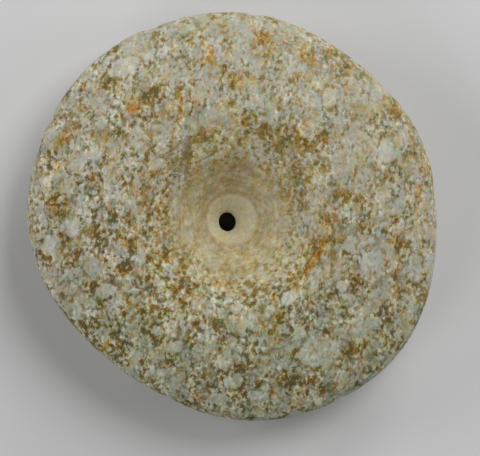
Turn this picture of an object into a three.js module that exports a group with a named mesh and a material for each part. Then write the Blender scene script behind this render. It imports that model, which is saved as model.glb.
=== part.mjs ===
// Stone spindle whorl: a thick, nearly round disc of speckled stone, ground smooth by hand.
// Its upper side is a broad dish that falls to a drilled cup and a narrow bore, and its underside is plain.
//
// Millimetres, +Z up. The whorl lies on its underside, and the dish faces up.
// The origin is on the resting plane, under the middle of the whorl's own width and length.

import * as THREE from "three";

// Outline, seen from above. Each wave lifts it in so many bulges, the first of them towards an angle in degrees.
const OUTLINE_RADIUS = 39.65;
const OUTLINE_WAVES = [
  { bulges: 2, rise: 1.55, towards: 140 },
  { bulges: 3, rise: 0.5, towards: 61 },
  { bulges: 4, rise: 0.25, towards: 15 },
  { bulges: 5, rise: 0.11, towards: 38 },
  { bulges: 6, rise: 0.2, towards: 21 },
  { bulges: 7, rise: 0.11, towards: 24 },
];
const OUTLINE_CENTRE = { x: 0.7, y: 0.1 };

// Heights above the resting plane
const CREST_HEIGHT = 19.6;
const RIM_HEIGHT = 10;
const CUP_EDGE_HEIGHT = 14.2;
const CUP_FLOOR_HEIGHT = 12;
const LOWER_MOUTH_HEIGHT = 3;

// Hand grinding left the crest and the rim a little uneven.
const CREST_WAVES = [
  { bulges: 1, rise: 0.3, towards: 150 },
  { bulges: 3, rise: 0.15, towards: 20 },
];
const RIM_WAVES = [
  { bulges: 1, rise: 0.4, towards: 150 },
  { bulges: 2, rise: 0.6, towards: 75 },
  { bulges: 3, rise: 0.35, towards: 10 },
];

// Radii of the rings that the section turns at, from the bore outwards
const BORE_RADIUS = 1.75;
const CUP_FLOOR_RADIUS = 2.1;
const CUP_EDGE_RADIUS = 5.2;
const CREST_RADIUS = 20.5;
const FOOT_OUTER_RADIUS = 21;
const FOOT_INNER_RADIUS = 7.5;
const LOWER_MOUTH_RADIUS = 4.2;

// The cup was drilled a little off the middle of the outline, and the bore a little off the middle of the cup.
const CUP_CENTRE = { x: -0.1, y: -0.55 };
const BORE_CENTRE = { x: -1, y: -1.05 };
const BORE_WAVES = [{ bulges: 2, rise: 0.1, towards: 95 }];

// The rim is a blunt rounded edge, tighter above its widest line than below. Each half is part of an ellipse, with
// its depth inwards, its height, and the turn in degrees from the widest line to where the edge runs out.
const UPPER_EDGE = { depth: 3.5, height: 4.5, turn: 68 };
const LOWER_EDGE = { depth: 6, height: -6, turn: 62 };

// How each stretch bends: 1 is a straight slope, and more is flatter at the crest or foot and steeper beyond.
const CUP_BEND = 1.15;
const DISH_BEND = 1.8;
const SHOULDER_BEND = 1.6;
const BELLY_BEND = 1.6;

// How far up the lower mouth, as a share of its height, its wall is half way in to the bore
const LOWER_MOUTH_BEND = 0.6;

// The crest is nearly as round as the dish, and the outline's waves grow from there to the rim.
const CREST_WAVINESS = 0.35;

// Fineness of the facets
const SEGMENTS = 84;
const CUP_STEPS = 4;
const DISH_STEPS = 8;
const SHOULDER_STEPS = 8;
const EDGE_STEPS = 5;
const BELLY_STEPS = 6;

const STONE = new THREE.MeshStandardMaterial({ color: 0x968e73, roughness: 0.85, metalness: 0 });

const HALF = 0.5;
const radians = THREE.MathUtils.degToRad;
const mix = THREE.MathUtils.lerp;

// How far a set of waves rises at an angle, in millimetres
function waveRise(waves, angle) {
  let rise = 0;
  for (const wave of waves) {
    rise += wave.rise * Math.cos(wave.bulges * (angle - radians(wave.towards)));
  }
  return rise;
}

function between(from, to, share) {
  return { x: mix(from.x, to.x, share), y: mix(from.y, to.y, share) };
}

// A ring is one closed loop of the surface. Its shares say how much it has of each set of waves.
function ring(radius, height, centre, shares = {}) {
  return { radius, height, centre, outline: 0, bore: 0, crest: 0, rim: 0, ...shares };
}

function boreRing(height) {
  return ring(BORE_RADIUS, height, BORE_CENTRE, { bore: 1 });
}

// From the bore's upper mouth to the cup's edge
function cupRings() {
  const rings = [];
  for (let step = 0; step <= CUP_STEPS; step++) {
    const share = step / CUP_STEPS;
    const radius = mix(CUP_FLOOR_RADIUS, CUP_EDGE_RADIUS, share);
    const depth = (CUP_EDGE_HEIGHT - CUP_FLOOR_HEIGHT) * (1 - share) ** CUP_BEND;
    const centre = between(BORE_CENTRE, CUP_CENTRE, share);
    rings.push(ring(radius, CUP_EDGE_HEIGHT - depth, centre, { bore: 1 - share }));
  }
  return rings;
}

// From the cup's edge up the dish to its crest, steepest at the cup
function dishRings() {
  const rings = [];
  for (let step = 1; step <= DISH_STEPS; step++) {
    const share = step / DISH_STEPS;
    const radius = mix(CUP_EDGE_RADIUS, CREST_RADIUS, share);
    const depth = (CREST_HEIGHT - CUP_EDGE_HEIGHT) * (1 - share) ** DISH_BEND;
    const shares = { outline: CREST_WAVINESS * share, crest: share };
    rings.push(ring(radius, CREST_HEIGHT - depth, CUP_CENTRE, shares));
  }
  return rings;
}

// The ring of a half of the rounded edge, a share of its turn away from the widest line
function edgeRing(edge, share) {
  const turn = radians(edge.turn * share);
  const radius = OUTLINE_RADIUS - edge.depth * (1 - Math.cos(turn));
  const height = RIM_HEIGHT + edge.height * Math.sin(turn);
  return ring(radius, height, OUTLINE_CENTRE, { outline: 1, rim: 1 });
}

// From the crest down the shoulder to the rounded edge
function shoulderRings() {
  const rings = [];
  const edge = edgeRing(UPPER_EDGE, 1);
  for (let step = 1; step < SHOULDER_STEPS; step++) {
    const share = step / SHOULDER_STEPS;
    const radius = mix(CREST_RADIUS, edge.radius, share);
    const drop = (CREST_HEIGHT - edge.height) * share ** SHOULDER_BEND;
    const centre = between(CUP_CENTRE, OUTLINE_CENTRE, share);
    const shares = { outline: mix(CREST_WAVINESS, 1, share), crest: 1 - share, rim: share };
    rings.push(ring(radius, CREST_HEIGHT - drop, centre, shares));
  }
  return rings;
}

// Round the edge, over the widest line
function edgeRings() {
  const rings = [];
  for (let step = EDGE_STEPS; step > 0; step--) {
    rings.push(edgeRing(UPPER_EDGE, step / EDGE_STEPS));
  }
  for (let step = 0; step <= EDGE_STEPS; step++) {
    rings.push(edgeRing(LOWER_EDGE, step / EDGE_STEPS));
  }
  return rings;
}

// From the rounded edge under the belly to the flat foot
function bellyRings() {
  const rings = [];
  const edge = edgeRing(LOWER_EDGE, 1);
  for (let step = BELLY_STEPS - 1; step >= 0; step--) {
    const share = step / BELLY_STEPS;
    const radius = mix(FOOT_OUTER_RADIUS, edge.radius, share);
    const height = edge.height * share ** BELLY_BEND;
    rings.push(ring(radius, height, OUTLINE_CENTRE, { outline: 1, rim: share * share }));
  }
  return rings;
}

// The flat ring that the whorl rests on, and the plain drilled mouth inside it
function footRings() {
  const middleRadius = mix(FOOT_OUTER_RADIUS, FOOT_INNER_RADIUS, HALF);
  const halfMouthRadius = mix(BORE_RADIUS, LOWER_MOUTH_RADIUS, HALF);
  return [
    ring(middleRadius, 0, between(BORE_CENTRE, OUTLINE_CENTRE, HALF), { outline: HALF }),
    ring(FOOT_INNER_RADIUS, 0, BORE_CENTRE),
    ring(LOWER_MOUTH_RADIUS, 0, BORE_CENTRE),
    ring(halfMouthRadius, LOWER_MOUTH_HEIGHT * LOWER_MOUTH_BEND, BORE_CENTRE, { bore: HALF }),
    boreRing(LOWER_MOUTH_HEIGHT),
  ];
}

// Once round the section: up through the bore, out over the dish and shoulder, and back under the belly
function sectionRings() {
  return [
    boreRing(mix(LOWER_MOUTH_HEIGHT, CUP_FLOOR_HEIGHT, HALF)),
    boreRing(CUP_FLOOR_HEIGHT - (CUP_FLOOR_RADIUS - BORE_RADIUS)),
    ...cupRings(),
    ...dishRings(),
    ...shoulderRings(),
    ...edgeRings(),
    ...bellyRings(),
    ...footRings(),
  ];
}

// An outline wave keeps its share of the ring's own radius, and the other waves are true distances.
function ringPoint(loop, angle) {
  const outline = loop.radius * loop.outline * (waveRise(OUTLINE_WAVES, angle) / OUTLINE_RADIUS);
  const reach = loop.radius + outline + loop.bore * waveRise(BORE_WAVES, angle);
  const lift = loop.crest * waveRise(CREST_WAVES, angle) + loop.rim * waveRise(RIM_WAVES, angle);
  const { x, y } = loop.centre;
  return [x + reach * Math.cos(angle), y + reach * Math.sin(angle), loop.height + lift];
}

// Joins the rings into one closed surface with its faces pointing out. The last ring joins the first.
function skin(rings) {
  const positions = [];
  const faces = [];
  for (let row = 0; row < rings.length; row++) {
    const nextRow = (row + 1) % rings.length;
    for (let column = 0; column < SEGMENTS; column++) {
      const nextColumn = (column + 1) % SEGMENTS;
      positions.push(...ringPoint(rings[row], (column / SEGMENTS) * 2 * Math.PI));
      const near = row * SEGMENTS + column;
      const nearNext = row * SEGMENTS + nextColumn;
      const far = nextRow * SEGMENTS + column;
      const farNext = nextRow * SEGMENTS + nextColumn;
      faces.push(near, far, farNext, near, farNext, nearNext);
    }
  }
  const geometry = new THREE.BufferGeometry();
  geometry.setAttribute("position", new THREE.Float32BufferAttribute(positions, 3));
  geometry.setIndex(faces);
  geometry.computeVertexNormals();
  return geometry;
}

// Sets the middle of the whorl's own box over the origin
function centred(geometry) {
  geometry.computeBoundingBox();
  const middle = geometry.boundingBox.getCenter(new THREE.Vector3());
  return geometry.translate(-middle.x, -middle.y, 0);
}

const whorl = new THREE.Mesh(centred(skin(sectionRings())), STONE);
whorl.name = "whorl";

const model = new THREE.Group();
model.add(whorl);

export default model;
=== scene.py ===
import math

import bpy
import numpy as np
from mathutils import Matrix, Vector


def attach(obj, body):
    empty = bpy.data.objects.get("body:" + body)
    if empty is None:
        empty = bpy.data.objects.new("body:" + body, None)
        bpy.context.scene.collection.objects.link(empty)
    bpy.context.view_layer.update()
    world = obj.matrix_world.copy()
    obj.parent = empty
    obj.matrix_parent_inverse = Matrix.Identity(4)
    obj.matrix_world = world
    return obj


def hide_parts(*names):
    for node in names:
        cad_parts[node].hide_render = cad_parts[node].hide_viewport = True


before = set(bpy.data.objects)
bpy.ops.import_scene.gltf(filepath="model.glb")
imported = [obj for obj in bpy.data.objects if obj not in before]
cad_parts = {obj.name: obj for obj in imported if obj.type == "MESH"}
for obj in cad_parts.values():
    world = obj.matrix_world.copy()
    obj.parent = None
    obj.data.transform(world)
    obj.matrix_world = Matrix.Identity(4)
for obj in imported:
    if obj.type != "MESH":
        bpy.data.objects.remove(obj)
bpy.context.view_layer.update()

# The stone spindle whorl, dressed: one fine mesh on the solid's own section, with its turning marks,
# chips and grain, and a speckled stone material. Lengths here are in millimetres, +Z up, and MM turns
# them into the scene's metres.
MM = 0.001

HALF = 0.5

# The solid's own sizes. The fine mesh follows the same section and the same outline.
OUTLINE_RADIUS = 39.65
OUTLINE_WAVES = [(2, 1.55, 140), (3, 0.5, 61), (4, 0.25, 15), (5, 0.11, 38), (6, 0.2, 21), (7, 0.11, 24)]
OUTLINE_CENTRE = np.array([0.7, 0.1])
CREST_WAVES = [(1, 0.3, 150), (3, 0.15, 20)]
RIM_WAVES = [(1, 0.4, 150), (2, 0.6, 75), (3, 0.35, 10)]
BORE_WAVES = [(2, 0.1, 95)]
CREST_HEIGHT = 19.6
RIM_HEIGHT = 10
CUP_EDGE_HEIGHT = 14.2
CUP_FLOOR_HEIGHT = 12
LOWER_MOUTH_HEIGHT = 3
BORE_RADIUS = 1.75
CUP_FLOOR_RADIUS = 2.1
CUP_EDGE_RADIUS = 5.2
CREST_RADIUS = 20.5
FOOT_OUTER_RADIUS = 21
FOOT_INNER_RADIUS = 7.5
LOWER_MOUTH_RADIUS = 4.2
CUP_CENTRE = np.array([-0.1, -0.55])
BORE_CENTRE = np.array([-1, -1.05])
UPPER_EDGE = {"depth": 3.5, "height": 4.5, "turn": 68}
LOWER_EDGE = {"depth": 6, "height": -6, "turn": 62}
CUP_BEND = 1.15
DISH_BEND = 1.8
SHOULDER_BEND = 1.6
BELLY_BEND = 1.6
LOWER_MOUTH_BEND = 0.6
CREST_WAVINESS = 0.35

# Steps between rings along each stretch of the section, and points round a ring out to each radius
CUP_STEP = 0.16
TOP_STEP = 0.34
BELLY_STEP = 0.8
FOOT_STEP = 1.0
BORE_STEP = 0.8
POINTS_BY_RADIUS = [(3.2, 90), (8.2, 180), (21.5, 360), (99, 720)]

# Step in degrees for finding the middle of the outline
MIDDLE_STEP = 0.5

# Marks that the turning drill left round the cup, about its middle: radius, width and rise of each
TURNING_MARKS = [
    (4.75, 0.3, -0.05),
    (5.35, 0.3, 0.10),
    (6.5, 0.45, -0.07),
    (7.6, 0.35, 0.05),
    (8.9, 0.4, -0.07),
    (9.9, 0.3, 0.04),
    (11.1, 0.4, -0.05),
]

# Small losses along the rim: the angle in degrees, the width along the rim and the depth inwards
RIM_CHIPS = [
    (7, 2.6, 0.33),
    (40, 2.0, 0.25),
    (85, 1.6, 0.25),
    (114, 1.8, 0.4),
    (152.5, 1.0, 0.4),
    (250, 1.8, 0.3),
    (300, 1.6, 0.2),
]

# Relief of the ground surface: a slow unevenness, the grain, and pits where the dark specks are. The
# rubbed centre loses most of the last two. The relief starts and is full at two heights above the foot,
# and at two distances from the cup's middle.
SWELL_SIZE = 11
SWELL_RISE = 0.16
GRAIN_SIZE = 1.6
GRAIN_RISE = 0.10
PIT_DEPTH = 0.09
CENTRE_SMOOTHNESS = 0.8
RELIEF_HEIGHTS = (0.2, 1.5)
RELIEF_REACH = (2.2, 4)

# Each noise swings about its middle, and its seed moves it to a part of space of its own.
NOISE_MIDDLE = 0.5
SEEDS = {
    "calm": 3,
    "patches": 5,
    "relief": 7,
    "bump": 67,
    "mottle": 71,
    "wobble": 73,
    "swell": 83,
    "spark": 91,
    "tooth": 97,
}

# Lie of the grain: how much the height is stretched, how far and at what size the grains' outlines
# wander, which way the grains lie in degrees, and how far they are drawn out
HEIGHT_STRETCH = 0.75
RAGGEDNESS = 0.5
RAGGED_SIZE = 1.0
GRAIN_TURN = 82
GRAIN_STRETCH = 1.22

# Zones. The rubbed centre and the warm dish begin to fade and end at two distances from the cup's middle,
# and the centre's edge wanders. The greener south starts and is full at two places along Y.
CENTRE_REACH = (7, 15)
CENTRE_WANDER = 7
CENTRE_WANDER_SIZE = 4.0
DISH_REACH = (15, 23)
SOUTH_REACH = (-6, -26)

# Tone of the speckled stone, from 0 in the darkest speck to 1 in the brightest crystal: its start, the
# size, border and weight of its crystals, the size, weight and seed of each noise, and the shift that
# each field gives
TONE_START = 0.611
CRYSTAL_SIZE = 0.7
CRYSTAL_BORDER = 0.35
CRYSTAL_TONE = 0.2
TONE_NOISES = [(0.38, 0.4, 7), (0.85, 0.46, 8), (2.0, 0.64, 9), (4.6, 0.42, 10)]
# The painted_shade field darkens the tone as painted shade on slopes that face away from the lights
TONE_SHIFTS = [("light", 0.12), ("seam", -0.04), ("dark", -0.06), ("painted_shade", -0.1), ("bright", 0.1),
               ("rust", -0.13), ("ochre", -0.06), ("dish", -0.012)]

# Contrast of that tone about its mean: how much there is at the origin, how much more for each millimetre
# along X and Y, and the share that the dish loses
MEAN_TONE = 0.58
CONTRAST = 1.36
CONTRAST_SLOPE = (-0.006, -0.0105, 0)
DISH_EASING = 0.12

# Calm stone, where the texture is faint: how large its patches are, the levels of its noise where it
# starts and is full, and the share of the contrast that it loses, outside the dish and in it
CALM_SIZE = 3.6
CALM_LEVELS = (0.45, 0.6)
CALM_SHARE = 0.5
CALM_SHARE_IN_DISH = 0.2

# Specks: the size, weight and seed of each noise in their level, the shift that each field gives it, the
# levels where a speck starts and is darkest, and its change of tone. In the dish they run in arcs about
# the cup, of a size of their own, and are drawn out past a radius.
SPECK_NOISES = [(0.78, 1.0, 10.14), (0.4, 0.25, 5.2), (4.2, 0.5, 54.6)]
SPECK_SHIFTS = [("calm", -0.03), ("pale", -0.09), ("seam", 0.04), ("dark", 0.1), ("ochre", 0.02)]
SPECK_LEVELS = (0.435, 0.62)
SPECK_TONE = -0.37
DISH_SPECK_SIZE = 0.72
DISH_STREAK_RADIUS = 11

# Bright crystals among the specks: their size, the levels of their noise where one starts and is bright,
# and their rise in tone
SPARK_SIZE = 0.7
SPARK_LEVELS = (0.54, 0.68)
SPARK_TONE = 0.21

# Rubbed centre: its share of the tone where it is full, its own tone, and the change that the patches of
# painted shade make
RUBBED_SHARE = 0.88
RUBBED_TONE = 0.54
RUBBED_PAINTED_SHADE = -0.1

# Its streaks, which run round the cup and are drawn out past a radius, and its mottle: the size and
# weight of each. Both are weaker in the cup, and full between two distances from its middle.
STREAK_RADIUS = 3
STREAK_SIZE = 0.6
STREAK_ROUGHNESS = 0.8
STREAK_WEIGHT = 1.15
MOTTLE_SIZE = 1.4
MOTTLE_WEIGHT = 0.75
STREAK_REACH = (4, 7)
STRENGTH_IN_CUP = 0.45

# Its rings of lighter and darker stone: radius, half width and change of tone of each. Each is soft over
# its outer part, and wobbles a little.
TONE_RINGS = [
    (2.0, 3.1, 0.19),
    (5.4, 0.5, -0.1),
    (6.5, 0.8, -0.04),
    (8.8, 0.7, 0.07),
    (10.2, 0.6, -0.05),
]
RING_SOFTNESS = 0.6
RING_WOBBLE = 0.7
RING_WOBBLE_SIZE = 2.5

# The stone's colours as a screen shows them: each tone, its colour where the stone is coolest and its
# colour where it is warmest
PALETTE = [
    (0.0, (97, 90, 67), (107, 84, 28)),
    (0.11, (114, 107, 85), (126, 103, 40)),
    (0.24, (131, 124, 103), (143, 121, 54)),
    (0.365, (142, 139, 127), (156, 134, 75)),
    (0.50, (160, 159, 150), (168, 152, 102)),
    (0.635, (174, 173, 164), (182, 171, 130)),
    (0.76, (185, 185, 175), (192, 184, 147)),
    (0.89, (198, 196, 186), (206, 198, 165)),
    (1.0, (212, 210, 200), (221, 213, 184)),
]

# Warmth, from 0 in the coolest stone to 1 in the warmest: its start, the weight of the crystals, the
# size, weight and seed of each noise, and the shift that each field gives. The rubbed centre has a warmth
# of its own, and its colour settles part of the way to it.
WARMTH_START = 0.41
CRYSTAL_WARMTH = 0.5
WARMTH_NOISES = [(0.45, 1.5, 31), (1.0, 1.7, 32), (2.6, 2.1, 33)]
WARMTH_SHIFTS = [("dish", 0.31), ("speck", 0.05), ("calm", -0.12), ("pale", -0.1), ("rust", 0.5),
                 ("ochre", 0.4)]
CENTRE_WARMTH = 0.66
CENTRE_SETTLING = 0.5

# Tints of the zones, specks and rust, as factors of red, green and blue
SOUTH_TINT = (0.95, 1, 0.95)
CENTRE_TINT = (1.035, 1, 0.95)
SPECK_TINT = (1.04, 1, 0.82)
SPECK_TINT_SHARE = 0.6
RUST_TINT = (1.08, 0.96, 0.76)

# Blush, which makes the stone redder above 0 and greener below it, and earthier both ways: its start, the
# weight of the crystals, the size, weight and seed of each noise, and the shift that each field and the
# warmth give. Its strength goes with the tone, from the first pair to the second, and the rubbed centre
# loses a share.
BLUSH_TINT = (1.14, 0.94, 1)
EARTH_TINT = (1, 1, 0.88)
BLUSH_START = 0.05
CRYSTAL_BLUSH = 1.0
BLUSH_NOISES = [(0.5, 1.4, 49.5), (1.0, 1.7, 52), (2.6, 1.0, 60)]
BLUSH_SHIFTS = [("rust", 0.3), ("ochre", 0.15)]
WARMTH_BLUSH = 0.15
MIDDLE_WARMTH = 0.5
BLUSH_TONES = (0.1, 0.9)
BLUSH_STRENGTHS = (2.2, 0.4)
BLUSH_LOSS = 0.4

# Fine grain in every colour: its size, how much it lightens and darkens, how much less in the rubbed
# centre and how much more in the specks
TOOTH_SIZE = 0.4
TOOTH_SHARE = 0.26
TOOTH_LOSS = 0.13
TOOTH_SHARE_IN_SPECKS = 0.5

# Finish: the roughness of the darkest stone, how much less it is in the brightest and in the rubbed
# centre, the strength of its reflections, and the size, height and share of a fine bump
ROUGHNESS = 0.92
CRYSTAL_GLOSS = 0.1
CENTRE_GLOSS = 0.12
SPECULAR = 0.35
BUMP_SIZE = 0.42
BUMP_ROUGHNESS = 0.6
BUMP_HEIGHT = 0.06
BUMP_SHARE = 0.6

# Edges of the patches, as shares of their size: where each kind is full and where it ends. The pale and
# the slate ones have calm stone inside, and a seam outside their edge that begins to fade and ends at two
# shares.
PATCH_RAGGEDNESS = 1.6
PATCH_RAGGED_SIZE = 1.6
PATCH_EDGE = (0.75, 1.15)
PATCH_CALM = 0.9
SEAM_FADE = (1.2, 1.5)
DARK_EDGE = (0.6, 1.25)
RUST_EDGE = (0.4, 1.3)
OCHRE_EDGE = (0.2, 1.5)

# Patches that stand out on the stone: x, y, half length, half width, and the turn of the length in
# degrees
PALE_PATCHES = [
    (-20.9, 28.6, 3.2, 1.9, 25), (19.0, 22.9, 2.2, 1.5, 75), (29.8, 12.6, 2.5, 1.4, 95),
    (26.8, -9.8, 3.4, 2.5, 80), (35.4, -10.8, 1.9, 1.5, 90), (21.2, -13.3, 1.4, 1.1, 10),
    (16.8, -26.0, 3.9, 3.2, 10), (12.0, -23.6, 2.7, 1.5, 50), (0.3, -31.6, 1.8, 1.6, 0),
    (0.9, -17.5, 1.3, 1.0, 20), (7.0, -18.2, 1.3, 1.0, 60), (10.8, -15.5, 2.0, 1.2, 55),
    (-31.2, -2.2, 2.3, 1.8, 80), (-35.5, -5.7, 2.1, 1.4, 80), (-24.3, -14.4, 2.4, 1.4, 15),
    (-30.7, -18.3, 1.7, 1.6, 0), (-14.6, -30.0, 1.8, 1.6, 0), (-10.8, -25.2, 1.6, 1.2, 30),
    (-14.4, -21.9, 1.3, 1.1, 0), (-14.6, 10.1, 1.8, 1.2, 0), (-26.2, 12.2, 1.6, 1.3, 60),
    (4.4, -34.4, 1.5, 1.0, 0), (-2.8, -35.4, 2.2, 1.1, 0), (-30.4, 9.6, 1.7, 1.2, 30),
    (-30.4, -10.9, 1.6, 1.1, 0),
]
SLATE_PATCHES = [
    (-18.0, 14.7, 2.7, 2.0, 110), (21.4, 9.7, 3.4, 2.4, 80), (9.6, -21.6, 1.4, 1.1, 0),
    (-6.1, 23.7, 2.2, 1.5, 80), (4.8, 28.4, 2.0, 1.5, 60), (27.2, -20.7, 1.6, 1.2, 0),
    (31.9, 1.9, 1.8, 1.2, 90), (22.6, -5.0, 1.8, 1.1, 80),
]
OCHRE_PATCHES = [
    (-17.2, 22.0, 3.4, 2.4, 60), (-4.8, 31.0, 2.6, 1.6, 90), (6.0, 33.6, 2.4, 2.0, 0),
    (0.4, 25.1, 1.8, 1.6, 0), (13.2, -11.6, 2.6, 1.6, 60), (17.3, -1.1, 2.2, 1.3, 90),
    (-16.6, 8.4, 2.0, 1.6, 0), (-3.0, -12.7, 1.8, 1.0, 0), (-14.5, 1.0, 2.0, 1.6, 90),
    (24.0, -11.6, 1.8, 1.4, 0), (25.5, 3.2, 1.8, 1.5, 0), (14.6, 14.0, 2.2, 1.7, 130),
    (-21.3, -10.6, 1.8, 1.4, 0), (10.1, -19.3, 1.8, 1.2, 20), (31.4, 21.0, 2.4, 1.2, 130),
    (34.8, 13.5, 2.4, 1.0, 105), (-27.5, -3.4, 1.8, 1.4, 0), (-34.5, 2.0, 2.4, 1.3, 85),
    (14.5, 30.5, 2.2, 1.3, 150),
]
RUST_PATCHES = [
    (-32.2, 15.3, 2.6, 1.2, 35), (5.8, 34.8, 1.5, 1.2, 0), (16.0, -7.8, 4.0, 0.9, 62),
    (-33.9, 9.7, 1.3, 1.0, 90), (-24.4, -25.2, 1.5, 0.9, 0), (36.0, 4.6, 1.0, 1.6, 0),
    (-19.2, 20.9, 1.3, 0.9, 0), (-9.8, 21.3, 3.9, 0.35, 88), (-4.2, 30.6, 2.4, 0.5, 95),
    (31.5, -4.6, 1.2, 1.2, 0), (8.2, -15.4, 1.1, 1.0, 0),
]
DARK_PATCHES = [
    (-4.1, -31.0, 2.6, 1.5, 90), (12.1, -31.2, 2.2, 1.5, 10), (31.9, -11.8, 1.4, 1.0, 90),
    (18.5, -33.6, 1.7, 1.0, 20), (-25.6, -19.7, 1.5, 1.2, 0), (6.6, 16.2, 2.6, 1.4, 100),
    (-25.8, 7.7, 1.3, 1.2, 0), (-20.1, -9.6, 1.4, 1.1, 0), (13.0, 1.9, 1.2, 1.0, 90),
    (-36.0, -8.6, 2.1, 1.0, 95), (7.7, -33.7, 1.2, 1.0, 0), (-11.4, -28.2, 1.2, 0.9, 0),
    (-2.8, -20.2, 1.6, 1.0, 0), (3.7, 18.4, 1.8, 1.2, 0), (13.4, 13.9, 1.8, 1.2, 130),
    (22.8, -25.8, 1.3, 1.1, 0), (-27.5, -3.2, 1.7, 1.3, 0), (-30.8, 3.4, 1.2, 0.9, 0),
    (-38.0, -2.0, 1.6, 1.2, 90), (-9.2, 13.0, 2.0, 1.7, 20), (19.3, -6.5, 6.6, 0.45, 88),
    (21.0, -16.2, 3.8, 0.45, 113),
]
# Painted shade: patches that darken the tone on slopes facing away from the lights, most on the dish's
# upper wall
PAINTED_SHADE_PATCHES = [
    (-0.8, 8.6, 5.5, 2.6, 0), (-20.5, -9.2, 2.0, 1.5, 0), (-4.0, 20.0, 4.6, 2.8, 0),
    (0.0, -21.5, 3.4, 2.4, 0), (-23.5, 16.0, 2.4, 1.8, 0), (-30.0, -8.5, 2.4, 1.8, 0),
]
BRIGHT_PATCHES = [
    (-17.0, 28.6, 4.0, 3.0, 30), (-12.5, -9.0, 3.0, 2.4, 0), (16.5, 8.5, 3.0, 2.2, 90),
    (-22.0, -26.5, 4.0, 2.4, 140), (-34.0, 10.0, 3.0, 2.2, 70), (13.0, -20.0, 3.6, 2.6, 0),
    (-1.5, -33.6, 3.4, 1.8, 0), (13.0, -9.0, 2.6, 2.0, 0),
]

# The Mix node's sockets for colours, which share their names with those for numbers
MIX_UNDER = 6
MIX_OVER = 7
MIX_RESULT = 2

# Photograph: its middle on the whorl, its width at the rim's height, how far away the camera stands, and
# the nearest that it sees
PHOTO_MIDDLE = (1.51, -2.23)
PHOTO_WIDTH = 93.54
CAMERA_DISTANCE = 550
CAMERA_CLIP = 10
SENSOR_WIDTH = 36

FLOOR_SIZE = 1600
FLOOR_COLOUR = (0.675, 0.675, 0.685, 1)
FLOOR_ROUGHNESS = 0.9
FLOOR_SPECULAR = 0.2

# Lights: each one's name, azimuth, elevation, share of the open floor's brightness, and size
BRIGHTNESS = 0.86
LIGHT_COLOUR = (1, 1, 0.99)
LIGHT_DISTANCE = 850
WORLD_SHARE = 0.09
LIGHTS = [
    ("key", 42, 48, 0.385, 450),
    ("upper", 68, 20, 0.165, 370),
    ("right", 0, 32, 0.07, 370),
    ("left", 165, 24, 0.155, 420),
    ("lower_left", 220, 32, 0.135, 420),
]


def mix(start, end, share):
    return start + (end - start) * share


def wave_rise(waves, angles):
    """How far a set of waves rises at each angle. A wave is its bulges, its rise and where it points."""
    return sum(rise * np.cos(bulges * (angles - math.radians(towards))) for bulges, rise, towards in waves)


def ring(radius, height, centre, outline=0, bore=0, crest=0, rim=0, marks=0):
    """One closed loop of the surface. Its shares say how much of each set of waves and marks it has."""
    return {"radius": radius, "height": height, "centre": centre, "outline": outline, "bore": bore,
            "crest": crest, "rim": rim, "marks": marks}


def shares(length, step):
    """Even shares from just past 0 up to 1 along a stretch of that length."""
    count = max(1, round(length / step))
    return [number / count for number in range(1, count + 1)]


def bore_ring(height):
    return ring(BORE_RADIUS, height, BORE_CENTRE, bore=1)


def cup_rings():
    rings = []
    for share in [0] + shares(CUP_EDGE_RADIUS - CUP_FLOOR_RADIUS, CUP_STEP):
        radius = mix(CUP_FLOOR_RADIUS, CUP_EDGE_RADIUS, share)
        depth = (CUP_EDGE_HEIGHT - CUP_FLOOR_HEIGHT) * (1 - share) ** CUP_BEND
        centre = mix(BORE_CENTRE, CUP_CENTRE, share)
        rings.append(ring(radius, CUP_EDGE_HEIGHT - depth, centre, bore=1 - share, marks=share))
    return rings


def dish_rings():
    rings = []
    for share in shares(CREST_RADIUS - CUP_EDGE_RADIUS, TOP_STEP):
        radius = mix(CUP_EDGE_RADIUS, CREST_RADIUS, share)
        depth = (CREST_HEIGHT - CUP_EDGE_HEIGHT) * (1 - share) ** DISH_BEND
        rings.append(ring(radius, CREST_HEIGHT - depth, CUP_CENTRE, outline=CREST_WAVINESS * share,
                          crest=share, marks=1))
    return rings


def edge_ring(edge, share):
    """The ring of a half of the rounded edge, a share of its turn away from the widest line."""
    turn = math.radians(edge["turn"] * share)
    radius = OUTLINE_RADIUS - edge["depth"] * (1 - math.cos(turn))
    height = RIM_HEIGHT + edge["height"] * math.sin(turn)
    return ring(radius, height, OUTLINE_CENTRE, outline=1, rim=1)


def shoulder_rings():
    rings = []
    edge = edge_ring(UPPER_EDGE, 1)
    for share in shares(edge["radius"] - CREST_RADIUS, TOP_STEP)[:-1]:
        radius = mix(CREST_RADIUS, edge["radius"], share)
        height = CREST_HEIGHT - (CREST_HEIGHT - edge["height"]) * share ** SHOULDER_BEND
        centre = mix(CUP_CENTRE, OUTLINE_CENTRE, share)
        rings.append(ring(radius, height, centre, outline=mix(CREST_WAVINESS, 1, share),
                          crest=1 - share, rim=share))
    return rings


def half_edge_rings(edge):
    """A half of the rounded edge, from just past its widest line."""
    mean_radius = (edge["depth"] + abs(edge["height"])) / 2
    length = math.radians(edge["turn"]) * mean_radius
    return [edge_ring(edge, share) for share in shares(length, TOP_STEP)]


def edge_rings():
    return half_edge_rings(UPPER_EDGE)[::-1] + [edge_ring(LOWER_EDGE, 0)] + half_edge_rings(LOWER_EDGE)


def belly_rings():
    rings = []
    edge = edge_ring(LOWER_EDGE, 1)
    for inwards in shares(edge["radius"] - FOOT_OUTER_RADIUS, BELLY_STEP):
        share = 1 - inwards
        radius = mix(FOOT_OUTER_RADIUS, edge["radius"], share)
        height = edge["height"] * share ** BELLY_BEND
        rings.append(ring(radius, height, OUTLINE_CENTRE, outline=1, rim=share * share))
    return rings


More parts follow.
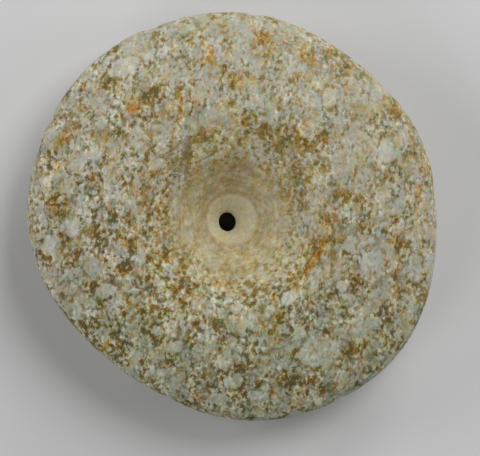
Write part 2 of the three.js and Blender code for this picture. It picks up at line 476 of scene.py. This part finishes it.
def foot_rings():
    rings = []
    for share in shares(FOOT_OUTER_RADIUS - FOOT_INNER_RADIUS, FOOT_STEP):
        radius = mix(FOOT_OUTER_RADIUS, FOOT_INNER_RADIUS, share)
        rings.append(ring(radius, 0, mix(OUTLINE_CENTRE, BORE_CENTRE, share), outline=1 - share))
    for share in shares(FOOT_INNER_RADIUS - LOWER_MOUTH_RADIUS, FOOT_STEP):
        rings.append(ring(mix(FOOT_INNER_RADIUS, LOWER_MOUTH_RADIUS, share), 0, BORE_CENTRE))
    for share in shares(LOWER_MOUTH_HEIGHT, BORE_STEP):
        radius = mix(LOWER_MOUTH_RADIUS, BORE_RADIUS, share)
        # A parabola that is 0 at both ends and reaches the bend half way
        bulge = 4 * (LOWER_MOUTH_BEND - HALF) * share * (1 - share)
        height = LOWER_MOUTH_HEIGHT * (share + bulge)
        rings.append(ring(radius, height, BORE_CENTRE, bore=share))
    return rings


def section_rings():
    bore_top = CUP_FLOOR_HEIGHT - (CUP_FLOOR_RADIUS - BORE_RADIUS)
    bore_length = bore_top - LOWER_MOUTH_HEIGHT
    steps = shares(bore_length, BORE_STEP)
    bore = [bore_ring(mix(LOWER_MOUTH_HEIGHT, bore_top, share)) for share in steps]
    top = cup_rings() + dish_rings() + shoulder_rings()
    return bore + top + edge_rings() + belly_rings() + foot_rings()


def chip_depth(loop, angles):
    """How far the chips cut into the rim. They fade away from the widest line."""
    away = (loop["height"] - RIM_HEIGHT) / UPPER_EDGE["height"]
    fade = loop["rim"] * math.exp(-away * away)
    depth = np.zeros_like(angles)
    for towards, width, cut in RIM_CHIPS:
        turn = np.angle(np.exp(1j * (angles - math.radians(towards))))
        depth += cut * np.exp(-((turn * OUTLINE_RADIUS / width) ** 2))
    return depth * fade


def ring_points(loop, count):
    angles = np.arange(count) / count * 2 * math.pi
    outline = loop["radius"] * loop["outline"] * wave_rise(OUTLINE_WAVES, angles) / OUTLINE_RADIUS
    bore = loop["bore"] * wave_rise(BORE_WAVES, angles)
    reach = loop["radius"] + outline + bore - chip_depth(loop, angles)
    lift = loop["crest"] * wave_rise(CREST_WAVES, angles) + loop["rim"] * wave_rise(RIM_WAVES, angles)
    for radius, width, rise in TURNING_MARKS:
        lift = lift + loop["marks"] * rise * math.exp(-(((loop["radius"] - radius) / width) ** 2))
    across = loop["centre"][0] + reach * np.cos(angles)
    along = loop["centre"][1] + reach * np.sin(angles)
    return np.stack([across, along, loop["height"] + lift], axis=1)


def ring_count(loop):
    return next(count for radius, count in POINTS_BY_RADIUS if loop["radius"] < radius)


def band(first, first_count, second, second_count):
    """Faces between two rings, of which one may have twice the other's points."""
    if first_count == second_count:
        near = np.arange(first_count)
        far = (near + 1) % first_count
        return np.stack([first + near, second + near, second + far, first + far], axis=1).tolist()
    narrows = second_count < first_count
    coarse, fine = (second, first) if narrows else (first, second)
    count = min(first_count, second_count)
    near = np.arange(count)
    far = (near + 1) % count
    left, middle, right = fine + 2 * near, fine + 2 * near + 1, fine + 2 * far
    faces = [
        [coarse + near, left, middle],
        [coarse + near, middle, coarse + far],
        [coarse + far, middle, right],
    ]
    if narrows:
        faces = [face[::-1] for face in faces]
    return [triangle for face in faces for triangle in np.stack(face, axis=1).tolist()]


def whorl_mesh():
    """The fine mesh, in metres, with the middle of its plain section over the CAD solid's middle."""
    rings = section_rings()
    counts = [ring_count(loop) for loop in rings]
    points = [ring_points(loop, count) for loop, count in zip(rings, counts)]
    starts = np.concatenate([[0], np.cumsum(counts)])
    faces = []
    for row in range(len(rings)):
        after = (row + 1) % len(rings)
        faces += band(starts[row], counts[row], starts[after], counts[after])
    corners = np.concatenate(points)
    corners[:, :2] -= plain_middle()
    mesh = bpy.data.meshes.new("whorl_stone")
    mesh.from_pydata((corners * MM).tolist(), [], faces)
    mesh.update()
    return mesh


def plain_middle():
    """The middle of the outline before it is set over the origin, without chips."""
    angles = np.radians(np.arange(0, 360, MIDDLE_STEP))
    reach = OUTLINE_RADIUS + wave_rise(OUTLINE_WAVES, angles)
    across = OUTLINE_CENTRE[0] + reach * np.cos(angles)
    along = OUTLINE_CENTRE[1] + reach * np.sin(angles)
    return np.array([(across.min() + across.max()) / 2, (along.min() + along.max()) / 2])


class Nodes:
    """Adds nodes to a shader tree or a geometry tree. Most methods return the socket of their result."""

    def __init__(self, tree):
        self.tree = tree

    def add(self, kind, **settings):
        node = self.tree.nodes.new(kind)
        for name, value in settings.items():
            setattr(node, name, value)
        return node

    def put(self, socket, value):
        if isinstance(value, bpy.types.NodeSocket):
            self.tree.links.new(value, socket)
        else:
            socket.default_value = value

    def math(self, operation, first, second=0.0, third=0.0):
        node = self.add("ShaderNodeMath", operation=operation)
        for socket, value in zip(node.inputs, (first, second, third)):
            self.put(socket, value)
        return node.outputs[0]

    def vector(self, operation, *values):
        node = self.add("ShaderNodeVectorMath", operation=operation)
        for socket, value in zip(node.inputs, values):
            self.put(socket, value)
        return node.outputs["Value" if operation in ("LENGTH", "DOT_PRODUCT") else "Vector"]

    def scaled(self, vector, size):
        node = self.add("ShaderNodeVectorMath", operation="SCALE")
        self.put(node.inputs[0], vector)
        self.put(node.inputs["Scale"], size)
        return node.outputs["Vector"]

    def noise(self, place, size, detail=2.0, roughness=0.5, seed=0.0, output="Fac"):
        """Noise whose features are about that many millimetres, as a number from 0 to 1 or as a colour."""
        node = self.add("ShaderNodeTexNoise")
        if seed:
            place = self.vector("ADD", place, (seed, 2 * seed, 3 * seed))
        self.put(node.inputs["Vector"], place)
        self.put(node.inputs["Scale"], 1 / size)
        self.put(node.inputs["Detail"], detail)
        self.put(node.inputs["Roughness"], roughness)
        return node.outputs[output]

    def noises(self, place, layers, detail):
        """Some noises and their weights. Each layer is a size, a weight and a seed."""
        parts = []
        for size, weight, seed in layers:
            parts.append((self.noise(place, size, detail=detail, seed=seed), weight))
        return parts

    def sway(self, place, size, seed, detail=2.0):
        """Noise that swings about 0."""
        return self.math("SUBTRACT", self.noise(place, size, detail=detail, seed=seed), NOISE_MIDDLE)

    def ragged(self, start, place, size, reach, seed=0.0):
        """A place moved to and fro by noise, by up to about half that reach."""
        push = self.noise(place, size, detail=2, seed=seed, output="Color")
        push = self.vector("SUBTRACT", push, (NOISE_MIDDLE, NOISE_MIDDLE, NOISE_MIDDLE))
        return self.vector("ADD", start, self.scaled(push, reach))

    def rise(self, value, low, high, start=0.0, end=1.0):
        """A smooth rise from start to end as the value goes from low to high."""
        node = self.add("ShaderNodeMapRange", interpolation_type="SMOOTHSTEP")
        for name, number in (("From Min", low), ("From Max", high), ("To Min", start), ("To Max", end)):
            self.put(node.inputs[name], number)
        self.put(node.inputs["Value"], value)
        return node.outputs["Result"]

    def mixed(self, start, end, share):
        """The number a share of the way from start to end."""
        return self.math("MULTIPLY_ADD", self.math("SUBTRACT", end, start), share, start)

    def less(self, field, share):
        """1 where a field is 0, and less by that share where it is 1."""
        return self.math("MULTIPLY_ADD", field, -share, 1)

    def total(self, start, parts):
        """A number plus each part times its weight."""
        total = start
        for part, weight in parts:
            total = self.math("MULTIPLY_ADD", part, weight, total)
        return total

    def blend(self, start, parts):
        """A number plus how far each part is from its middle, times its weight."""
        return self.total(start - sum(NOISE_MIDDLE * weight for part, weight in parts), parts)

    def crystals(self, place, size):
        """Three numbers that change from crystal to crystal of that size, with soft borders."""
        node = self.add("ShaderNodeTexVoronoi", feature="SMOOTH_F1")
        self.put(node.inputs["Vector"], place)
        self.put(node.inputs["Scale"], 1 / size)
        self.put(node.inputs["Smoothness"], CRYSTAL_BORDER)
        split = self.add("ShaderNodeSeparateXYZ")
        self.put(split.inputs[0], node.outputs["Color"])
        return split.outputs[0], split.outputs[1], split.outputs[2]

    def ramp(self, value, stops):
        """The colour that a value stands at between stops, each a position and a colour."""
        node = self.add("ShaderNodeValToRGB")
        self.put(node.inputs[0], value)
        points = node.color_ramp.elements
        points[0].position, points[0].color = stops[0]
        points[1].position, points[1].color = stops[-1]
        for position, colour in stops[1:-1]:
            points.new(position).color = colour
        return node.outputs[0]

    def tinted(self, colour, tint, share):
        """A colour times a tint, by a share."""
        excess = self.scaled(tuple(channel - 1 for channel in tint), share)
        return self.vector("MULTIPLY", colour, self.vector("ADD", excess, (1, 1, 1)))

    def reach_of(self, place, spots):
        """How far out of the nearest of some oval patches a place is, from above: 1 is on its outline."""
        nearest = None
        for across, along, length, width, turn in spots:
            node = self.add("ShaderNodeVectorRotate", rotation_type="Z_AXIS")
            self.put(node.inputs["Vector"], place)
            self.put(node.inputs["Center"], (across, along, 0))
            self.put(node.inputs["Angle"], -math.radians(turn))
            scale, start = (1 / length, 1 / width, 0), (-across / length, -along / width, 0)
            reach = self.vector("LENGTH", self.vector("MULTIPLY_ADD", node.outputs[0], scale, start))
            nearest = self.math("MINIMUM", nearest, reach) if nearest else reach
        return nearest

    def patches(self, place, spots, inner, outer):
        """1 inside some oval patches and 0 outside them all, seen from above."""
        return self.rise(self.reach_of(place, spots), inner, outer, 1, 0)

    def colour(self, under, over, share):
        """A colour laid over another by a share."""
        node = self.add("ShaderNodeMix", data_type="RGBA")
        self.put(node.inputs["Factor"], share)
        self.put(node.inputs[MIX_UNDER], under)
        self.put(node.inputs[MIX_OVER], over)
        return node.outputs[MIX_RESULT]


def paint(red, green, blue):
    """A colour given as a screen shows it, from 0 to 255, made linear by the standard screen curve."""
    def linear(value):
        value = value / 255
        return value / 12.92 if value <= 0.04045 else ((value + 0.055) / 1.055) ** 2.4
    return (linear(red), linear(green), linear(blue), 1)


def in_frame(place):
    """A place on the section's own plan, moved to where the whorl lies in the frame."""
    return place - plain_middle()


def stone_fields(nodes, position):
    """The fields that the colours and the relief share, at a position in metres."""
    place = nodes.vector("MULTIPLY", position, (1 / MM, 1 / MM, HEIGHT_STRETCH / MM))
    ragged = nodes.ragged(place, place, RAGGED_SIZE, RAGGEDNESS)
    turned = nodes.add("ShaderNodeVectorRotate", rotation_type="Z_AXIS")
    nodes.put(turned.inputs["Vector"], ragged)
    nodes.put(turned.inputs["Angle"], -math.radians(GRAIN_TURN))
    grained = nodes.vector("MULTIPLY", turned.outputs[0], (1 / GRAIN_STRETCH, 1, 1))

    middle = in_frame(CUP_CENTRE)
    offset = nodes.vector("MULTIPLY_ADD", place, (1, 1, 0), (-middle[0], -middle[1], 0))
    reach = nodes.vector("LENGTH", offset)
    wander = nodes.noise(place, CENTRE_WANDER_SIZE, detail=3)
    wander = nodes.math("MULTIPLY_ADD", wander, CENTRE_WANDER, -CENTRE_WANDER * NOISE_MIDDLE)
    split = nodes.add("ShaderNodeSeparateXYZ")
    nodes.put(split.inputs[0], place)
    calm = nodes.noise(grained, CALM_SIZE, detail=2, seed=SEEDS["calm"])

    fields = patch_fields(nodes, place, ragged)
    fields.update({
        "place": place,
        "ragged": ragged,
        "grained": grained,
        "offset": offset,
        "reach": reach,
        "centre": nodes.rise(nodes.math("ADD", reach, wander), *CENTRE_REACH, 1, 0),
        "dish": nodes.rise(reach, *DISH_REACH, 1, 0),
        "south": nodes.rise(split.outputs["Y"], SOUTH_REACH[1], SOUTH_REACH[0], 1, 0),
        "crystals": nodes.crystals(grained, CRYSTAL_SIZE),
    })
    in_patches = nodes.math("MULTIPLY", fields["pale"], PATCH_CALM)
    fields["calm"] = nodes.math("MAXIMUM", nodes.rise(calm, *CALM_LEVELS), in_patches)
    fields["speck"] = speck_share(nodes, fields)
    rubbed_share = nodes.math("MULTIPLY", fields["centre"], RUBBED_SHARE)
    fields["tone"] = nodes.mixed(grain_tone(nodes, fields), rubbed_tone(nodes, fields), rubbed_share)
    return fields


def patch_fields(nodes, place, ragged):
    """How much of each kind of patch there is, from 0 to 1, and of the seam round pale and slate ones."""
    rough = nodes.ragged(ragged, place, PATCH_RAGGED_SIZE, PATCH_RAGGEDNESS, seed=SEEDS["patches"])
    light = nodes.reach_of(rough, PALE_PATCHES)
    out = nodes.math("MINIMUM", light, nodes.reach_of(rough, SLATE_PATCHES))
    return {
        "light": nodes.rise(light, *PATCH_EDGE, 1, 0),
        "pale": nodes.rise(out, *PATCH_EDGE, 1, 0),
        "seam": nodes.math("MULTIPLY", nodes.rise(out, *PATCH_EDGE), nodes.rise(out, *SEAM_FADE, 1, 0)),
        "dark": nodes.patches(ragged, DARK_PATCHES, *DARK_EDGE),
        # Painted shade on slopes that face away from the lights
        "painted_shade": nodes.patches(ragged, PAINTED_SHADE_PATCHES, *DARK_EDGE),
        "bright": nodes.patches(ragged, BRIGHT_PATCHES, *OCHRE_EDGE),
        "rust": nodes.patches(rough, RUST_PATCHES, *RUST_EDGE),
        "ochre": nodes.patches(rough, OCHRE_PATCHES, *OCHRE_EDGE),
    }


def shifted(nodes, fields, value, shifts):
    """A number plus each named field times its shift."""
    return nodes.total(value, [(fields[name], shift) for name, shift in shifts])


def around_cup(nodes, fields, radius):
    """A place for noise that runs in arcs about the cup. Past that radius its features are drawn out."""
    around = nodes.scaled(nodes.vector("NORMALIZE", fields["offset"]), radius)
    outwards = nodes.add("ShaderNodeCombineXYZ")
    nodes.put(outwards.inputs["Z"], fields["reach"])
    return nodes.vector("ADD", around, outwards.outputs[0])


def speck_share(nodes, fields):
    """How much of a dark speck there is, from 0 to 1. Specks crowd together, and shun the pale patches."""
    (straight, weight), *others = nodes.noises(fields["grained"], SPECK_NOISES, detail=2)
    curved = nodes.noise(around_cup(nodes, fields, DISH_STREAK_RADIUS), DISH_SPECK_SIZE, detail=2)
    curved = nodes.mixed(straight, curved, fields["dish"])
    level = nodes.blend(NOISE_MIDDLE, [(curved, weight)] + others)
    return nodes.rise(shifted(nodes, fields, level, SPECK_SHIFTS), *SPECK_LEVELS)


def grain_tone(nodes, fields):
    """The tone of the speckled stone: 0 is the darkest speck and 1 the brightest crystal."""
    parts = [(fields["crystals"][0], CRYSTAL_TONE)]
    parts += nodes.noises(fields["grained"], TONE_NOISES, detail=1)
    spark = nodes.noise(fields["grained"], SPARK_SIZE, detail=1, seed=SEEDS["spark"])
    spark = nodes.rise(spark, *SPARK_LEVELS)
    tone = nodes.blend(TONE_START, parts)
    tone = nodes.total(tone, [(fields["speck"], SPECK_TONE), (spark, SPARK_TONE)])
    tone = nodes.mixed(MEAN_TONE, tone, contrast_of(nodes, fields))
    return shifted(nodes, fields, tone, TONE_SHIFTS)


def contrast_of(nodes, fields):
    """How strong the texture is: less in calm stone and in the dish, and more towards one side."""
    slope = nodes.vector("DOT_PRODUCT", fields["place"], CONTRAST_SLOPE)
    contrast = nodes.math("ADD", slope, CONTRAST)
    damping = nodes.math("MULTIPLY_ADD", fields["dish"], CALM_SHARE - CALM_SHARE_IN_DISH, -CALM_SHARE)
    contrast = nodes.math("MULTIPLY", contrast, nodes.math("MULTIPLY_ADD", fields["calm"], damping, 1))
    return nodes.math("MULTIPLY", contrast, nodes.less(fields["dish"], DISH_EASING))


def rubbed_tone(nodes, fields):
    """The tone of the rubbed centre: faint streaks that run round it, and rings about the cup."""
    around = around_cup(nodes, fields, STREAK_RADIUS)
    streak = nodes.noise(around, STREAK_SIZE, detail=4, roughness=STREAK_ROUGHNESS)
    mottle = nodes.noise(fields["grained"], MOTTLE_SIZE, detail=3, seed=SEEDS["mottle"])
    strength = nodes.rise(fields["reach"], *STREAK_REACH, STRENGTH_IN_CUP, 1)
    tone = nodes.blend(0, [(streak, STREAK_WEIGHT), (mottle, MOTTLE_WEIGHT)])
    tone = nodes.math("MULTIPLY_ADD", tone, strength, RUBBED_TONE)
    wobble = nodes.noise(fields["place"], RING_WOBBLE_SIZE, detail=2, seed=SEEDS["wobble"])
    reach = nodes.math("ADD", fields["reach"], nodes.blend(0, [(wobble, RING_WOBBLE)]))
    for radius, width, shift in TONE_RINGS:
        away = nodes.math("ABSOLUTE", nodes.math("SUBTRACT", reach, radius))
        inner = max(0, width - RING_SOFTNESS)
        tone = nodes.math("ADD", tone, nodes.rise(away, inner, width, shift, 0))
    # Painted shade darkens the rubbed centre too, in the same patches
    return nodes.math("MULTIPLY_ADD", fields["painted_shade"], RUBBED_PAINTED_SHADE, tone)


def stone_warmth(nodes, fields):
    parts = [(fields["crystals"][1], CRYSTAL_WARMTH)]
    parts += nodes.noises(fields["grained"], WARMTH_NOISES, detail=2)
    warmth = shifted(nodes, fields, nodes.blend(WARMTH_START, parts), WARMTH_SHIFTS)
    settled = nodes.math("MULTIPLY", fields["centre"], CENTRE_SETTLING)
    return nodes.mixed(warmth, CENTRE_WARMTH, settled)


def stone_blush(nodes, fields, warmth):
    parts = [(fields["crystals"][2], CRYSTAL_BLUSH)]
    parts += nodes.noises(fields["grained"], BLUSH_NOISES, detail=1)
    blush = shifted(nodes, fields, nodes.blend(BLUSH_START, parts), BLUSH_SHIFTS)
    blush = nodes.total(blush, [(nodes.math("SUBTRACT", warmth, MIDDLE_WARMTH), WARMTH_BLUSH)])
    strength = nodes.rise(fields["tone"], *BLUSH_TONES, *BLUSH_STRENGTHS)
    strength = nodes.math("MULTIPLY", strength, nodes.less(fields["centre"], BLUSH_LOSS))
    return nodes.math("MULTIPLY", blush, strength)


def stone_colour(nodes, fields):
    """The palette's colour for the tone and the warmth, tinted by zones, specks, rust and blush."""
    centre, tone = fields["centre"], fields["tone"]
    warmth = stone_warmth(nodes, fields)
    cool_stone = nodes.ramp(tone, [(stop, paint(*cool)) for stop, cool, warm in PALETTE])
    warm_stone = nodes.ramp(tone, [(stop, paint(*warm)) for stop, cool, warm in PALETTE])
    stone = nodes.colour(cool_stone, warm_stone, warmth)

    blush = stone_blush(nodes, fields, warmth)
    tints = [
        (SOUTH_TINT, fields["south"]),
        (CENTRE_TINT, centre),
        (SPECK_TINT, nodes.math("MULTIPLY", fields["speck"], SPECK_TINT_SHARE)),
        (RUST_TINT, fields["rust"]),
        (BLUSH_TINT, blush),
        (EARTH_TINT, nodes.math("ABSOLUTE", blush)),
    ]
    for tint, share in tints:
        stone = nodes.tinted(stone, tint, share)

    tooth = nodes.sway(fields["grained"], TOOTH_SIZE, SEEDS["tooth"], detail=1)
    share = nodes.total(TOOTH_SHARE, [(centre, -TOOTH_LOSS), (fields["speck"], TOOTH_SHARE_IN_SPECKS)])
    tooth = nodes.math("MULTIPLY", tooth, share)
    return nodes.scaled(stone, nodes.math("ADD", tooth, 1))


def stone_material():
    material = bpy.data.materials.new("speckled_stone")
    material.use_nodes = True
    nodes = Nodes(material.node_tree)
    shader = material.node_tree.nodes["Principled BSDF"]
    position = nodes.add("ShaderNodeTexCoord").outputs["Object"]
    fields = stone_fields(nodes, position)
    nodes.put(shader.inputs["Base Color"], stone_colour(nodes, fields))

    # Finish: matt, a little glossier in the rubbed centre and on the bright crystals, with a fine grain
    roughness = nodes.math("MULTIPLY_ADD", fields["tone"], -CRYSTAL_GLOSS, ROUGHNESS)
    roughness = nodes.math("MULTIPLY_ADD", fields["centre"], -CENTRE_GLOSS, roughness)
    nodes.put(shader.inputs["Roughness"], roughness)
    shader.inputs["Specular IOR Level"].default_value = SPECULAR
    bump = nodes.add("ShaderNodeBump")
    height = nodes.noise(fields["grained"], BUMP_SIZE, roughness=BUMP_ROUGHNESS, seed=SEEDS["bump"])
    nodes.put(bump.inputs["Height"], height)
    bump.inputs["Distance"].default_value = BUMP_HEIGHT * MM
    bump.inputs["Strength"].default_value = BUMP_SHARE
    nodes.put(shader.inputs["Normal"], bump.outputs["Normal"])
    return material


def relief_tree():
    """Moves each point of the mesh along its normal by the swell, the grain and the specks' pits."""
    tree = bpy.data.node_groups.new("stone_relief", "GeometryNodeTree")
    tree.interface.new_socket("Geometry", in_out="INPUT", socket_type="NodeSocketGeometry")
    tree.interface.new_socket("Geometry", in_out="OUTPUT", socket_type="NodeSocketGeometry")
    nodes = Nodes(tree)
    entry = nodes.add("NodeGroupInput")
    leave = nodes.add("NodeGroupOutput")
    position = nodes.add("GeometryNodeInputPosition").outputs[0]
    normal = nodes.add("GeometryNodeInputNormal").outputs[0]
    fields = stone_fields(nodes, position)

    swell = nodes.sway(fields["place"], SWELL_SIZE, SEEDS["swell"])
    grain = nodes.sway(fields["ragged"], GRAIN_SIZE, SEEDS["relief"])
    texture = nodes.total(0, [(grain, GRAIN_RISE / NOISE_MIDDLE), (fields["speck"], -PIT_DEPTH)])
    texture = nodes.math("MULTIPLY", texture, nodes.less(fields["centre"], CENTRE_SMOOTHNESS))
    height = nodes.math("MULTIPLY_ADD", swell, SWELL_RISE / NOISE_MIDDLE, texture)

    split = nodes.add("ShaderNodeSeparateXYZ")
    nodes.put(split.inputs[0], position)
    above_foot = nodes.rise(split.outputs["Z"], *(level * MM for level in RELIEF_HEIGHTS))
    outside_bore = nodes.rise(fields["reach"], *RELIEF_REACH)
    height = nodes.math("MULTIPLY", height, nodes.math("MULTIPLY", above_foot, outside_bore))
    move = nodes.add("GeometryNodeSetPosition")
    nodes.put(move.inputs["Geometry"], entry.outputs[0])
    nodes.put(move.inputs["Offset"], nodes.scaled(normal, nodes.math("MULTIPLY", height, MM)))
    nodes.put(leave.inputs[0], move.outputs["Geometry"])
    return tree


def whorl_piece():
    """The fine mesh with its relief made part of it, and its stone."""
    piece = bpy.data.objects.new("whorl_stone", whorl_mesh())
    bpy.context.scene.collection.objects.link(piece)
    modifier = piece.modifiers.new("relief", "NODES")
    modifier.node_group = relief_tree()
    depsgraph = bpy.context.evaluated_depsgraph_get()
    finished = bpy.data.meshes.new_from_object(piece.evaluated_get(depsgraph))
    piece.modifiers.clear()
    piece.data = finished
    finished.materials.clear()
    finished.materials.append(stone_material())
    finished.shade_smooth()
    return piece


def floor():
    bpy.ops.mesh.primitive_plane_add(size=FLOOR_SIZE * MM)
    plane = bpy.context.object
    plane.name = "floor"
    material = bpy.data.materials.new("pale_floor")
    material.use_nodes = True
    shader = material.node_tree.nodes["Principled BSDF"]
    shader.inputs["Base Color"].default_value = FLOOR_COLOUR
    shader.inputs["Roughness"].default_value = FLOOR_ROUGHNESS
    shader.inputs["Specular IOR Level"].default_value = FLOOR_SPECULAR
    plane.data.materials.append(material)


def light(name, azimuth, elevation, share, size):
    """A round soft light. Its share is of the brightness of the open floor. Azimuth 0 is +X and 90 is +Y.

    Its power makes up for its distance and for its slant on the floor.
    """
    across, up = math.radians(azimuth), math.radians(elevation)
    towards = Vector((math.cos(across) * math.cos(up), math.sin(across) * math.cos(up), math.sin(up)))
    lamp = bpy.data.lights.new(name, "AREA")
    lamp.shape = "DISK"
    lamp.size = size * MM
    distance = LIGHT_DISTANCE * MM
    lamp.energy = share * BRIGHTNESS * (math.pi * distance) ** 2 / math.sin(up)
    lamp.color = LIGHT_COLOUR
    stand = bpy.data.objects.new(name, lamp)
    stand.location = towards * distance
    stand.rotation_euler = (-towards).to_track_quat("-Z", "Y").to_euler()
    bpy.context.scene.collection.objects.link(stand)


def lights():
    for lamp in LIGHTS:
        light(*lamp)
    world = bpy.data.worlds.new("soft_room")
    bpy.context.scene.world = world
    world.use_nodes = True
    background = world.node_tree.nodes["Background"]
    background.inputs["Color"].default_value = (*LIGHT_COLOUR, 1)
    background.inputs["Strength"].default_value = WORLD_SHARE * BRIGHTNESS


def camera():
    data = bpy.data.cameras.new("photo_camera")
    data.sensor_width = SENSOR_WIDTH
    data.lens = SENSOR_WIDTH * CAMERA_DISTANCE / PHOTO_WIDTH
    data.clip_start = CAMERA_CLIP * MM
    view = bpy.data.objects.new("photo_camera", data)
    view.location = Vector((*PHOTO_MIDDLE, RIM_HEIGHT + CAMERA_DISTANCE)) * MM
    bpy.context.scene.collection.objects.link(view)
    bpy.context.scene.camera = view
    bpy.context.scene.view_settings.view_transform = "Standard"


camera()
lights()
floor()
whorl = whorl_piece()
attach(whorl, "root")
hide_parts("whorl")
